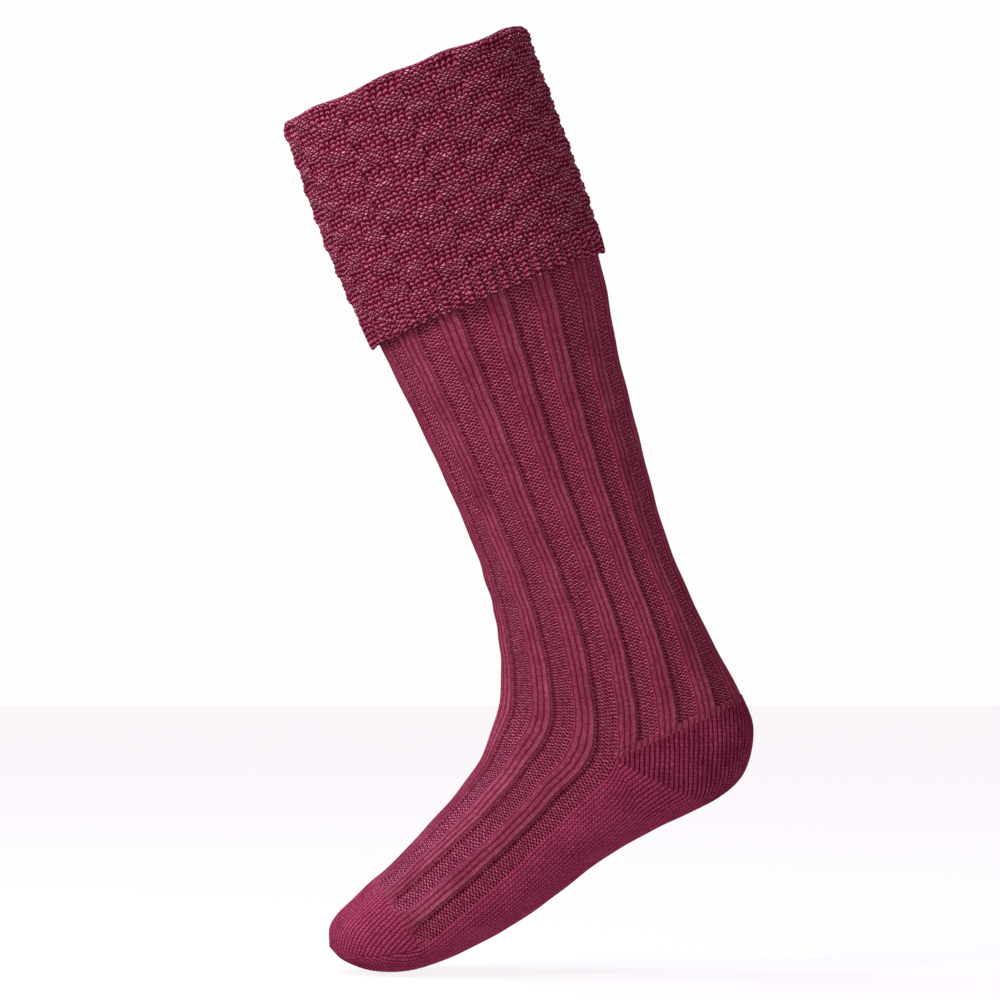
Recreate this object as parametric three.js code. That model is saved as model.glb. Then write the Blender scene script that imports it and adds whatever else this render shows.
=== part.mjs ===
import * as THREE from 'three';
import { mergeVertices } from 'three/addons/utils/BufferGeometryUtils.js';

// A knitted kilt hose sock in the form that it has on a leg standing on tiptoe.
// Millimetres, +Z up. The origin is the centre of the leg's opening, and the toe points to -X.

// Driving dimensions, in millimetres and degrees
const legLength = 374; // from the opening down to the point of the heel's gore
const legLean = 22.5; // of the leg from upright
const calfDepth = 130; // front to back at the top of the leg
const calfWidth = 112;
const ankleDepth = 100; // front to back above the heel
const ankleWidth = 70;
const heelWidth = 67;
const footLength = 250; // from the back of the heel to the tip of the toe
const footDrop = 42; // of the foot below level
const instepHeight = 77; // height that the foot's sections follow
const ballWidth = 90;
const cuffDepth = 126; // from the fold at the top down to the hem
const cuffWall = 3.4;
const foldDepth = 7; // height of the rolled fold above the leg's top edge
const hemBorder = 13; // ribbed border along the hem
const hemRound = 1.2; // rounding of the hem's edge
const legWall = 1.6; // in a channel between two ribs
const footWall = 2.4;
const ribHeight = 1.5;
const ribCount = 14;
const basketCount = 12; // repeats of the basket pattern round the cuff
const basketTier = 15.3; // height of one repeat of the basket pattern
const basketRelief = 1.6;
const clearance = 0.3; // between pieces that meet

// Sections of the leg, each with its places at the front, side and back. A place is a share
// of the leg's length down and of the depth there out. Width is a share of the width there.
// Depth and width pass from the calf's sizes to the ankle's as ankle goes to 1.
const legSections = [
  { ankle: 0.0, front: [0.0, -0.5], side: [0.0, -0.03], back: [0.0, 0.5], width: 1.0 },
  { ankle: 0.0, front: [0.173, -0.524], side: [0.172, -0.052], back: [0.171, 0.48], width: 1.0 },
  { ankle: 0.0, front: [0.338, -0.511], side: [0.338, -0.059], back: [0.337, 0.451], width: 0.97 },
  { ankle: 0.6, front: [0.484, -0.563], side: [0.485, -0.098], back: [0.486, 0.428], width: 1.0 },
  { ankle: 1.0, front: [0.62, -0.612], side: [0.625, -0.137], back: [0.63, 0.4], width: 1.06 },
  { ankle: 1.0, front: [0.701, -0.627], side: [0.747, -0.144], back: [0.75, 0.345], width: 1.0 },
  { ankle: 1.0, front: [0.779, -0.679], side: [0.871, -0.188], back: [0.878, 0.358], width: 1.02 },
  { ankle: 1.0, front: [0.85, -0.779], side: [1.0, -0.35], back: [0.995, 0.402], width: 1.0 },
];

// Sections of the foot from the gore to the toe, with their places at the top, side and sole.
// A place is a share of the foot's length along and of the instep's height up. Width is a
// share of the ball's width.
const footSections = [
  { top: [0.087, 0.871], side: [0.0, 0.0], sole: [0.048, -0.541], width: 0.74 },
  { top: [0.182, 0.661], side: [0.136, -0.055], sole: [0.158, -0.467], width: 0.78 },
  { top: [0.266, 0.565], side: [0.271, -0.082], sole: [0.278, -0.434], width: 0.84 },
  { top: [0.375, 0.517], side: [0.38, -0.084], sole: [0.386, -0.392], width: 0.93 },
  { top: [0.468, 0.487], side: [0.476, -0.075], sole: [0.485, -0.317], width: 1.0 },
  { top: [0.549, 0.483], side: [0.56, -0.055], sole: [0.568, -0.225], width: 0.98 },
  { top: [0.61, 0.477], side: [0.62, 0.04], sole: [0.63, -0.117], width: 0.9 },
  { top: [0.655, 0.469], side: [0.666, 0.16], sole: [0.679, 0.035], width: 0.73 },
  { top: [0.687, 0.435], side: [0.698, 0.3], sole: [0.707, 0.199], width: 0.44 },
  { top: [0.712, 0.34], side: [0.712, 0.33], sole: [0.712, 0.32], width: 0.02 },
];

// The heel's edge seen from the side. Turn goes from the leg's end to the sole's start, and
// swell is its distance from the gore as a share of the plain fan between those two.
const heelProfile = [
  { turn: 0.0, swell: 1.0 },
  { turn: 0.169, swell: 1.062 },
  { turn: 0.344, swell: 1.075 },
  { turn: 0.502, swell: 1.005 },
  { turn: 0.699, swell: 0.919 },
  { turn: 1.0, swell: 1.0 },
];

// Shares of one rib's pitch at which a rib's foot and its crown lie from its middle
const ribFoot = 0.27;
const ribCrown = 0.17;
// The line along the side of the foot, where the heel and sole begin, is the front foot of
// the fourth rib from the front. It is a share of half the girth, counted from the front.
const frontRibs = 3;
const sideShare = (frontRibs + 0.5 - ribFoot) / (ribCount / 2);

const frontFullness = 0.04; // how much fuller than an ellipse a section is, front and back
const backFullness = 0.12;
const girthSteps = 48; // steps in which a curve's length is measured

const mix = (a, b, share) => a + (b - a) * share;
const sum = (list) => list.reduce((total, value) => total + value, 0);

// Points in the sock's middle plane: x, then z
function legPoint(down, out) {
  const lean = THREE.MathUtils.degToRad(legLean);
  const x = down * Math.sin(lean) + out * Math.cos(lean);
  const z = -down * Math.cos(lean) + out * Math.sin(lean);
  return new THREE.Vector2(x, z);
}

function footPoint(from, along, up) {
  const drop = THREE.MathUtils.degToRad(footDrop);
  const x = from.x - along * Math.cos(drop) - up * Math.sin(drop);
  const z = from.y - along * Math.sin(drop) + up * Math.cos(drop);
  return new THREE.Vector2(x, z);
}

function legRow(row) {
  const depth = mix(calfDepth, ankleDepth, row.ankle);
  const width = row === legSections.at(-1) ? heelWidth : mix(calfWidth, ankleWidth, row.ankle);
  const place = ([down, out]) => legPoint(down * legLength, out * depth);
  return {
    front: place(row.front),
    side: place(row.side),
    back: place(row.back),
    halfWidth: (row.width * width) / 2,
  };
}

function footRow(row) {
  const place = ([along, up]) => footPoint(gore, along * footLength, up * instepHeight);
  return {
    front: place(row.top),
    side: place(row.side),
    back: place(row.sole),
    halfWidth: (row.width * ballWidth) / 2,
  };
}

const legRows = legSections.map(legRow);
const legEnd = legRows.at(-1);
const gore = legEnd.side;
const footRows = footSections.map(footRow);
footRows[0].front = legEnd.front;
footRows[0].halfWidth = legEnd.halfWidth;

// The heel is a fan of half sections round the gore, from the leg's end to the sole's start
function heelRow(row) {
  const from = legEnd.back.clone().sub(gore);
  const to = footRows[0].back.clone().sub(gore);
  const sweep = THREE.MathUtils.euclideanModulo(to.angle() - from.angle(), -2 * Math.PI);
  const reach = mix(from.length(), to.length(), row.turn) * row.swell;
  const angle = from.angle() + sweep * row.turn;
  const back = new THREE.Vector2(Math.cos(angle), Math.sin(angle)).multiplyScalar(reach).add(gore);
  return { front: legEnd.front, side: gore, back, halfWidth: legEnd.halfWidth };
}
const heelRows = heelProfile.map(heelRow);

// A chain of rows with the neighbours past its two ends, through which sections pass smoothly
function chain(before, rows, after) {
  return { rows: [before, ...rows, after], last: rows.length - 1 };
}
function lead(rows, from) {
  const past = {};
  for (const name of ['front', 'side', 'back']) {
    past[name] = rows[from][name].clone().multiplyScalar(2).sub(rows[from + 1][name]);
  }
  return { ...past, halfWidth: rows[from].halfWidth };
}
const legAfter = { ...footRows[1], back: heelRows[1].back };
const footBefore = { ...legRows.at(-2), back: heelRows.at(-2).back };
const legChain = chain(lead(legRows, 0), legRows, legAfter);
const heelChain = chain({ ...heelRows[0], back: legRows.at(-2).back }, heelRows,
  { ...heelRows[0], back: footRows[1].back });
const footChain = chain(footBefore, footRows, footRows.at(-1));

function smooth(a, b, c, d, share) {
  const s2 = share * share;
  const s3 = s2 * share;
  const weights = [
    (2 * s2 - s3 - share) / 2, (3 * s3 - 5 * s2 + 2) / 2,
    (share + 4 * s2 - 3 * s3) / 2, (s3 - s2) / 2,
  ];
  return sum([a, b, c, d].map((value, index) => value * weights[index]));
}

function section(line, place) {
  const start = Math.min(Math.floor(place), line.last - 1);
  const share = place - start;
  const near = line.rows.slice(start, start + 4);
  const point = (name) => new THREE.Vector2(
    smooth(...near.map((row) => row[name].x), share),
    smooth(...near.map((row) => row[name].y), share),
  );
  const halfWidth = smooth(...near.map((row) => row.halfWidth), share);
  const made = { front: point('front'), side: point('side'), back: point('back'), halfWidth };
  made.quarters = [
    quarter(made.side, made.front, halfWidth, frontFullness),
    quarter(made.side, made.back, halfWidth, backFullness),
  ];
  return made;
}

// One quarter of a section, from the middle plane at its front or back to the side
function quarter(side, end, halfWidth, fullness) {
  const depth = end.distanceTo(side);
  const outward = end.clone().sub(side).normalize();
  const steps = [];
  let length = 0;
  let last = null;
  for (let step = 0; step <= girthSteps; step += 1) {
    const angle = ((Math.PI / 2) * step) / girthSteps;
    const c = Math.cos(angle);
    const s = Math.sin(angle);
    const deep = depth * c * (1 + fullness * s * s);
    const wide = halfWidth * s * (1 + fullness * c * c);
    const place = new THREE.Vector2(deep, wide);
    const alongDepth = -depth * s * (1 + fullness * (s * s - 2 * c * c));
    const alongWidth = halfWidth * c * (1 + fullness * (c * c - 2 * s * s));
    length += last ? place.distanceTo(last) : 0;
    steps.push({ place, normal: new THREE.Vector2(alongWidth, -alongDepth).normalize(), length });
    last = place;
  }
  return { side, outward, steps, length };
}

// A point of a section. Girth runs from 0 at the front to 1 at the back on the near side, and
// to -1 on the far side. Offset is how far it stands out of the outline.
function surfacePoint(made, girth, offset) {
  const share = Math.abs(girth);
  const inFront = share <= sideShare;
  const part = made.quarters[inFront ? 0 : 1];
  const wanted = part.length * (inFront ? share / sideShare : (1 - share) / (1 - sideShare));
  const found = part.steps.findIndex((step) => step.length >= wanted);
  const index = Math.max(1, found < 0 ? girthSteps : found);
  const low = part.steps[index - 1];
  const high = part.steps[index];
  const between = (wanted - low.length) / (high.length - low.length);
  const normal = low.normal.clone().lerp(high.normal, between).normalize();
  const flat = low.place.clone().lerp(high.place, between).addScaledVector(normal, offset);
  const middle = part.side.clone().addScaledVector(part.outward, flat.x);
  return new THREE.Vector3(middle.x, girth > 0 ? -flat.y : flat.y, middle.y);
}

// Where a distance down the side of the leg lies on the leg's chain
const legTrace = [];
for (let step = 0; step <= girthSteps * legChain.last; step += 1) {
  const place = step / girthSteps;
  const { side } = section(legChain, place);
  const last = legTrace.at(-1);
  legTrace.push({ place, side, down: last ? last.down + side.distanceTo(last.side) : 0 });
}
function legStation(down) {
  const index = Math.max(1, legTrace.findIndex((mark) => mark.down >= down));
  const low = legTrace[index - 1];
  const high = legTrace[index];
  return mix(low.place, high.place, (down - low.down) / (high.down - low.down));
}

// Girths at which the ribs' feet and crowns lie, with the height there, round the whole leg
function ribColumns() {
  const columns = [];
  for (let rib = -ribCount / 2; rib < ribCount / 2; rib += 1) {
    for (const share of [-ribFoot, -ribCrown, ribCrown, ribFoot]) {
      const height = Math.abs(share) === ribFoot ? -ribHeight : 0;
      columns.push({ girth: (rib + 0.5 + share) / (ribCount / 2), height });
    }
  }
  return columns;
}

function evenly(from, to, count) {
  return Array.from({ length: count + 1 }, (_, step) => mix(from, to, step / count));
}

function pull(point, towards, distance) {
  return point.clone().addScaledVector(towards.clone().sub(point).normalize(), distance);
}

// A closed body from rings with as many points each. Rings that go round a whole piece close
// on the first one, and the others are capped by strips between a patch's two faces.
function body(rings, closed) {
  const count = rings[0].length;
  const faces = [];
  const quad = (a, b, c, d) => faces.push([a, b, c], [a, c, d]);
  const last = closed ? rings.length : rings.length - 1;
  for (let row = 0; row < last; row += 1) {
    const next = rings[(row + 1) % rings.length];
    rings[row].forEach((point, index) => {
      const beside = (index + 1) % count;
      quad(point, rings[row][beside], next[beside], next[index]);
    });
  }
  if (!closed) {
    for (let index = 0; index < count / 2 - 1; index += 1) {
      const under = count - 1 - index;
      const [first, end] = [rings[0], rings.at(-1)];
      quad(first[under], first[under - 1], first[index + 1], first[index]);
      quad(end[index], end[index + 1], end[under - 1], end[under]);
    }
  }
  return solid(faces);
}

function solid(faces) {
  const volume = sum(faces.map(([a, b, c]) => a.dot(b.clone().cross(c))));
  const outward = volume > 0 ? faces : faces.map(([a, b, c]) => [a, c, b]);
  const raw = new THREE.BufferGeometry().setFromPoints(outward.flat());
  const merged = mergeVertices(raw, 1e-3);
  const kept = [];
  const order = merged.index.array;
  for (let start = 0; start < order.length; start += 3) {
    const [a, b, c] = order.slice(start, start + 3);
    if (a !== b && b !== c && c !== a) kept.push(a, b, c);
  }
  merged.setIndex(kept);
  merged.computeVertexNormals();
  return merged;
}

// A patch of fabric with a wall, trimmed by half a clearance along every edge. Its grid has a
// row of columns for each station, and each entry holds the outer and the inner point.
function patch(grid) {
  for (const face of ['outer', 'inner']) {
    const rowPull = (row, beside) => grid[row].forEach((cell, column) => {
      const towards = grid[beside][column][face];
      const apart = towards.distanceTo(cell[face]) > clearance;
      if (apart) cell[face] = pull(cell[face], towards, clearance / 2);
    });
    rowPull(0, 1);
    rowPull(grid.length - 1, grid.length - 2);
    const middle = grid[Math.floor(grid.length / 2)];
    const width = middle.length;
    for (const [edge, beside] of [[0, 1], [width - 1, width - 2]]) {
      const isPoint = grid[0][edge][face].distanceTo(grid.at(-1)[edge][face]) < clearance;
      const tip = pull(middle[edge][face], middle[beside][face], clearance);
      for (const row of grid) {
        row[edge][face] = isPoint ? tip : pull(row[edge][face], row[beside][face], clearance / 2);
      }
    }
  }
  return body(grid.map((row) => [
    ...row.map((cell) => cell.outer),
    ...row.map((cell) => cell.inner).reverse(),
  ]), false);
}

const ribs = ribColumns();
const innerOffset = -ribHeight - legWall;
const hiddenDowns = evenly(foldDepth, cuffDepth, 3); // stations of the leg inside the cuff

// Turnover cuff: the basket-knit top, folded outwards over the leg
function cuffColumns() {
  // Shares of one repeat: the single raised wale, then the wide and the narrow column's edges
  const parts = [
    { share: 0.05, tier: 0 }, { share: 0.15, tier: 1 }, { share: 0.56, tier: 1 },
    { share: 0.65, tier: -1 }, { share: 0.95, tier: -1 },
  ];
  const columns = [];
  for (let repeat = -basketCount / 2; repeat < basketCount / 2; repeat += 1) {
    parts.forEach(({ share, tier }, index) => {
      const lining = (index + 0.3) / parts.length;
      columns.push({
        girth: (repeat + share) / (basketCount / 2),
        liningGirth: (repeat + lining) / (basketCount / 2),
        tier,
      });
    });
  }
  return columns;
}

function turnoverCuff() {
  const columns = cuffColumns();
  const outer = clearance + cuffWall;
  const radius = (outer - innerOffset) / 2;
  const rollMiddle = outer - radius;
  const rollSteps = 4;
  const rows = [{ down: foldDepth, offset: innerOffset }];
  for (const angle of evenly(Math.PI, 0, rollSteps)) {
    rows.push({ down: radius * (1 - Math.sin(angle)), offset: rollMiddle + radius * Math.cos(angle) });
  }
  const tierCount = Math.round((cuffDepth - hemBorder - foldDepth) / (basketTier / 2));
  evenly(foldDepth, cuffDepth - hemBorder, tierCount).forEach((down, step) => {
    rows.push({ down, offset: outer - basketRelief / 2, tier: step % 2 ? 1 : -1 });
  });
  rows.push({ down: cuffDepth - hemRound, offset: outer });
  rows.push({ down: cuffDepth, offset: outer - hemRound });
  rows.push({ down: cuffDepth, offset: clearance + hemRound / 2 });
  rows.push({ down: cuffDepth - hemRound, offset: clearance });
  for (const down of hiddenDowns.slice(0, -1).reverse()) rows.push({ down, offset: clearance });
  const rings = rows.map(({ down, offset, tier }) => {
    const made = section(legChain, legStation(down));
    return columns.map((column) => {
      const relief = tier ? (basketRelief / 2) * (1 + tier * column.tier) : 0;
      const girth = offset > clearance ? column.girth : column.liningGirth;
      return surfacePoint(made, girth, offset + relief);
    });
  });
  return body(rings, true);
}

// Leg: a ribbed tube from the cuff's fold down to the ankle, where its lower edge rises
// behind the gore to meet the heel
function leg() {
  const shownRows = 11;
  const length = legTrace.at(-1).down;
  const stations = [
    foldDepth + clearance,
    ...hiddenDowns.slice(1),
    ...evenly(cuffDepth, length, shownRows).slice(1),
  ].map(legStation);
  const rings = stations.map((place) => {
    const made = section(legChain, place);
    return {
      outer: ribs.map((column) => surfacePoint(made, column.girth, column.height)),
      inner: ribs.map((column) => surfacePoint(made, column.girth, innerOffset)),
    };
  });
  const [beforeEnd, end] = rings.slice(-2);
  for (const face of ['outer', 'inner']) {
    end[face] = end[face].map((point, index) => pull(point, beforeEnd[face][index], clearance / 2));
  }
  const inside = rings.map((ring) => ring.inner).reverse();
  return body([...rings.map((ring) => ring.outer), ...inside], true);
}

// Grid of a patch over stations of a chain and columns round it
function grid(line, places, columns, inner) {
  return places.map((place) => {
    const made = section(line, place);
    return columns.map(({ girth, height }) => ({
      outer: surfacePoint(made, girth, height),
      inner: surfacePoint(made, girth, inner),
    }));
  });
}

// Plain columns over the back of the section, from one side line round to the other
function backColumns(count) {
  const turns = evenly(sideShare, 2 - sideShare, count);
  return turns.map((turn) => ({ girth: turn > 1 ? turn - 2 : turn, height: 0 }));
}

const toeStart = 5; // the row of the foot's sections at which the toe begins
const footStations = evenly(0, toeStart, 2 * toeStart);

// Instep: the ribbed top of the foot, which carries on the leg's front ribs as far as the toe
function instep() {
  const edge = { girth: sideShare, height: -ribHeight };
  const inFront = ribs.filter((column) => Math.abs(column.girth) < sideShare - 1e-6);
  const columns = [{ ...edge, girth: -sideShare }, ...inFront, edge];
  return patch(grid(footChain, footStations, columns, innerOffset));
}

// Heel: a plain cup turned round the gore, between the leg's back and the sole
function heel() {
  return patch(grid(heelChain, evenly(0, heelChain.last, 8), backColumns(16), -footWall));
}

// Sole: plain fabric under the foot, from the heel to the toe
function sole() {
  return patch(grid(footChain, footStations, backColumns(14), -footWall));
}

// Toe: a plain rounded cup over the end of the foot
function toe() {
  const around = 28;
  const girths = evenly(-1, 1, around).slice(0, -1);
  const places = [...evenly(toeStart, footChain.last - 1, 7), footChain.last];
  const forward = footPoint(gore, 1, 0).sub(gore);
  const rings = places.map((place) => {
    const made = section(footChain, place);
    const share = (place - toeStart) / (footChain.last - toeStart);
    const back = footWall * share * share;
    const shift = new THREE.Vector3(-forward.x * back, 0, -forward.y * back);
    const isTip = place === footChain.last;
    const tip = new THREE.Vector3(made.side.x, 0, made.side.y);
    return {
      outer: girths.map((girth) => (isTip ? tip : surfacePoint(made, girth, 0))),
      inner: girths.map((girth) => (
        isTip ? tip.clone() : surfacePoint(made, girth, -footWall)).add(shift)),
    };
  });
  const [edge, next] = rings;
  for (const face of ['outer', 'inner']) {
    edge[face] = edge[face].map((point, index) => pull(point, next[face][index], clearance / 2));
  }
  const inside = rings.map((ring) => ring.inner).reverse();
  return body([...rings.map((ring) => ring.outer), ...inside], true);
}

const wool = { roughness: 0.92, metalness: 0 };
const pieces = [
  { name: 'turnover_cuff', shape: turnoverCuff(), color: 0x8f2c56 },
  { name: 'leg', shape: leg(), color: 0x862850 },
  { name: 'instep', shape: instep(), color: 0x92305c },
  { name: 'heel', shape: heel(), color: 0x6f1a3b },
  { name: 'sole', shape: sole(), color: 0x7a1f45 },
  { name: 'toe', shape: toe(), color: 0x8c2b54 },
];

const sock = new THREE.Group();
for (const { name, shape, color } of pieces) {
  const mesh = new THREE.Mesh(shape, new THREE.MeshStandardMaterial({ ...wool, color }));
  mesh.name = name;
  sock.add(mesh);
}

export default sock;
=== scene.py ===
import math

import bpy
import numpy as np
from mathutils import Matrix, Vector


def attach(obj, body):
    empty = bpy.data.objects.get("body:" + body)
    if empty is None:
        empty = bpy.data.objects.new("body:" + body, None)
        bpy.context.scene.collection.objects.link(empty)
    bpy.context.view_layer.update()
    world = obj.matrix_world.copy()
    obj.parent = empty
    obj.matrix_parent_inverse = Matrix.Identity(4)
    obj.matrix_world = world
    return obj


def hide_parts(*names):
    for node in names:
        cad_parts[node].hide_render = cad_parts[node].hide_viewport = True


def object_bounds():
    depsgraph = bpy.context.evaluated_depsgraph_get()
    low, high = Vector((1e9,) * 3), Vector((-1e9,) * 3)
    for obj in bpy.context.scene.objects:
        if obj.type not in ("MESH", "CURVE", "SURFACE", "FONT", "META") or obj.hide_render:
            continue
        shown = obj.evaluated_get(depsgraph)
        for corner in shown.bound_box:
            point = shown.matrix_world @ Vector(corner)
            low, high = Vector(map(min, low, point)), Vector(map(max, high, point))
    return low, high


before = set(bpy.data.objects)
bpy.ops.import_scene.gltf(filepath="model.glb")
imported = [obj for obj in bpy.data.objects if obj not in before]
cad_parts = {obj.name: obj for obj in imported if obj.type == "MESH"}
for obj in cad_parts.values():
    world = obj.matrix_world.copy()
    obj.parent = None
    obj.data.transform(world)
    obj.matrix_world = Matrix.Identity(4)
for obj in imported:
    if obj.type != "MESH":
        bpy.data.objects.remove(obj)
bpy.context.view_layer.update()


# Camera: level and square to the side of the leg, as in the photograph, and so far away that
# the sock shows hardly any perspective.
PIXEL = 0.250 / 475  # metres a pixel: the foot is 250 mm and spans 475 pixels
OPENING_PIXEL = (403.5, 75.5)  # where the centre of the leg's opening lies in the photograph
PHOTO_SIDE = 1000
CAMERA_DISTANCE = 3.5
CAMERA_X = (PHOTO_SIDE / 2 - OPENING_PIXEL[0]) * PIXEL
SENSOR_WIDTH = 36

camera_data = bpy.data.cameras.new("photo_camera")
camera = bpy.data.objects.new("photo_camera", camera_data)
bpy.context.scene.collection.objects.link(camera)
camera_data.sensor_width = SENSOR_WIDTH
camera_data.lens = SENSOR_WIDTH * CAMERA_DISTANCE / (PHOTO_SIDE * PIXEL)
camera_data.clip_start = 0.1
camera_data.clip_end = 50
camera.location = (CAMERA_X, -CAMERA_DISTANCE, (OPENING_PIXEL[1] - PHOTO_SIDE / 2) * PIXEL)
camera.rotation_euler = (math.pi / 2, 0, 0)
bpy.context.scene.camera = camera


# Leg: a tube of wool knitted in 14 ribs of three plain wales with four purl wales between
# them. It has its worn form, and its lower edge meets the heel behind the gore. The sizes and
# sections of the whole sock stand here, because each section bends smoothly into the next.
MM = 0.001  # the sizes are in millimetres
LEG_LENGTH = 374  # down to the point of the heel's gore
LEG_LEAN = math.radians(22.5)
CALF = {"depth": 130, "width": 112}
ANKLE = {"depth": 100, "width": 70}
HEEL_WIDTH = 67
FOOT_LENGTH = 250
FOOT_DROP = math.radians(42)
INSTEP_HEIGHT = 77
BALL_WIDTH = 90
CUFF_DEPTH = 126
FOLD_DEPTH = 7
CLEARANCE = 0.3
LEG_WALL = 1.6
RIB_HEIGHT = 1.5
RIBS = 14
KNIT_WALES = 3  # in one rib
PURL_WALES = 4  # in one channel
RIB_WALES = KNIT_WALES + PURL_WALES
HALF_WALES = RIBS * RIB_WALES / 2
COURSE = 1.95  # height of a row of stitches
ROWS_A_COURSE = 2  # of the mesh
INNER = -RIB_HEIGHT - LEG_WALL

# Each place is a share of the leg's length down and of the depth there out
LEG_SECTIONS = [
    dict(ankle=0.0, front=(0.0, -0.5), side=(0.0, -0.03), back=(0.0, 0.5), width=1.0),
    dict(ankle=0.0, front=(0.173, -0.524), side=(0.172, -0.052), back=(0.171, 0.48), width=1.0),
    dict(ankle=0.0, front=(0.338, -0.511), side=(0.338, -0.059), back=(0.337, 0.451), width=0.97),
    dict(ankle=0.6, front=(0.484, -0.563), side=(0.485, -0.098), back=(0.486, 0.428), width=1.0),
    dict(ankle=1.0, front=(0.62, -0.612), side=(0.625, -0.137), back=(0.63, 0.4), width=1.06),
    dict(ankle=1.0, front=(0.701, -0.627), side=(0.747, -0.144), back=(0.75, 0.345), width=1.0),
    dict(ankle=1.0, front=(0.779, -0.679), side=(0.871, -0.188), back=(0.878, 0.358), width=1.02),
    dict(ankle=1.0, front=(0.85, -0.779), side=(1.0, -0.35), back=(0.995, 0.402), width=1.0),
]
# Each place is a share of the foot's length along and of the instep's height up
FOOT_SECTIONS = [
    dict(front=(0.087, 0.871), side=(0.0, 0.0), back=(0.048, -0.541), width=0.74),
    dict(front=(0.182, 0.661), side=(0.136, -0.055), back=(0.158, -0.467), width=0.78),
    dict(front=(0.266, 0.565), side=(0.271, -0.082), back=(0.278, -0.434), width=0.84),
    dict(front=(0.375, 0.517), side=(0.38, -0.084), back=(0.386, -0.392), width=0.93),
    dict(front=(0.468, 0.487), side=(0.476, -0.075), back=(0.485, -0.317), width=1.0),
    dict(front=(0.549, 0.483), side=(0.56, -0.055), back=(0.568, -0.225), width=0.98),
    dict(front=(0.61, 0.477), side=(0.62, 0.04), back=(0.63, -0.117), width=0.9),
    dict(front=(0.655, 0.469), side=(0.666, 0.16), back=(0.679, 0.035), width=0.73),
    dict(front=(0.687, 0.435), side=(0.698, 0.3), back=(0.707, 0.199), width=0.44),
    dict(front=(0.712, 0.34), side=(0.712, 0.33), back=(0.712, 0.32), width=0.02),
]
# Turn goes from the leg's end to the sole's start, and swell is a share of the plain fan's
# reach from the gore
HEEL_PROFILE = [
    dict(turn=0.0, swell=1.0),
    dict(turn=0.169, swell=1.062),
    dict(turn=0.344, swell=1.075),
    dict(turn=0.502, swell=1.005),
    dict(turn=0.699, swell=0.919),
    dict(turn=1.0, swell=1.0),
]
# Shares of one rib's pitch at which a rib's foot and its crown lie from its middle
RIB_FOOT = 0.27
RIB_CROWN = 0.17
# The side line, where the heel and sole begin, is the front foot of the fourth rib
RIBS_TO_SIDE = 3.5
SIDE_SHARE = (RIBS_TO_SIDE - RIB_FOOT) / (RIBS / 2)
SIDE_WALE = SIDE_SHARE * HALF_WALES
FRONT_FULLNESS = 0.04  # how much fuller than an ellipse a section is
BACK_FULLNESS = 0.12
PLACES = ("front", "side", "back")
QUARTER = np.linspace(0, math.pi / 2, 49)  # angles at which a section's girth is measured
STEPS_A_SECTION = 48  # in which a chain's length is measured


def mix(a, b, share):
    return a + (b - a) * share


def leg_point(down, out):
    x = down * math.sin(LEG_LEAN) + out * math.cos(LEG_LEAN)
    z = -down * math.cos(LEG_LEAN) + out * math.sin(LEG_LEAN)
    return np.array([x, z])


def foot_point(start, along, up):
    x = start[0] - along * math.cos(FOOT_DROP) - up * math.sin(FOOT_DROP)
    z = start[1] - along * math.sin(FOOT_DROP) + up * math.cos(FOOT_DROP)
    return np.array([x, z])


leg_rows = []
for row in LEG_SECTIONS:
    depth = mix(CALF["depth"], ANKLE["depth"], row["ankle"])
    width = mix(CALF["width"], ANKLE["width"], row["ankle"])
    if row is LEG_SECTIONS[-1]:
        width = HEEL_WIDTH
    made = {name: leg_point(row[name][0] * LEG_LENGTH, row[name][1] * depth) for name in PLACES}
    leg_rows.append({**made, "half": np.array([row["width"] * width / 2])})
gore = leg_rows[-1]["side"]

foot_rows = []
for row in FOOT_SECTIONS:
    made = {
        name: foot_point(gore, row[name][0] * FOOT_LENGTH, row[name][1] * INSTEP_HEIGHT)
        for name in PLACES
    }
    foot_rows.append({**made, "half": np.array([row["width"] * BALL_WIDTH / 2])})
foot_rows[0]["front"] = leg_rows[-1]["front"]
foot_rows[0]["half"] = leg_rows[-1]["half"]

heel_from = leg_rows[-1]["back"] - gore
heel_to = foot_rows[0]["back"] - gore
from_angle = math.atan2(heel_from[1], heel_from[0])
to_angle = math.atan2(heel_to[1], heel_to[0])
heel_rows = []
for row in HEEL_PROFILE:
    reach = mix(np.linalg.norm(heel_from), np.linalg.norm(heel_to), row["turn"]) * row["swell"]
    angle = mix(from_angle, to_angle, row["turn"])
    back = gore + reach * np.array([math.cos(angle), math.sin(angle)])
    heel_rows.append({**leg_rows[-1], "back": back})


def chain(before, rows, after):
    """Rows of sections with the neighbour past each end, as arrays."""
    every = [before, *rows, after]
    line = {name: np.array([row[name] for row in every]) for name in (*PLACES, "half")}
    return {**line, "last": len(rows) - 1}


lead = {name: 2 * leg_rows[0][name] - leg_rows[1][name] for name in PLACES}
leg_chain = chain(
    {**lead, "half": leg_rows[0]["half"]},
    leg_rows,
    {**foot_rows[1], "back": heel_rows[1]["back"]},
)
heel_chain = chain(
    {**heel_rows[0], "back": leg_rows[-2]["back"]},
    heel_rows,
    {**heel_rows[0], "back": foot_rows[1]["back"]},
)
foot_chain = chain({**leg_rows[-2], "back": heel_rows[-2]["back"]}, foot_rows, foot_rows[-1])


def sections(line, places):
    """Sections at places along a chain, passing smoothly through its rows."""
    places = np.asarray(places, float)
    start = np.clip(np.floor(places).astype(int), 0, line["last"] - 1)
    s = places - start
    weights = (
        (2 * s**2 - s**3 - s) / 2,
        (3 * s**3 - 5 * s**2 + 2) / 2,
        (s + 4 * s**2 - 3 * s**3) / 2,
        (s**3 - s**2) / 2,
    )
    return {
        name: sum(weight[:, None] * line[name][start + step] for step, weight in enumerate(weights))
        for name in (*PLACES, "half")
    }


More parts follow.
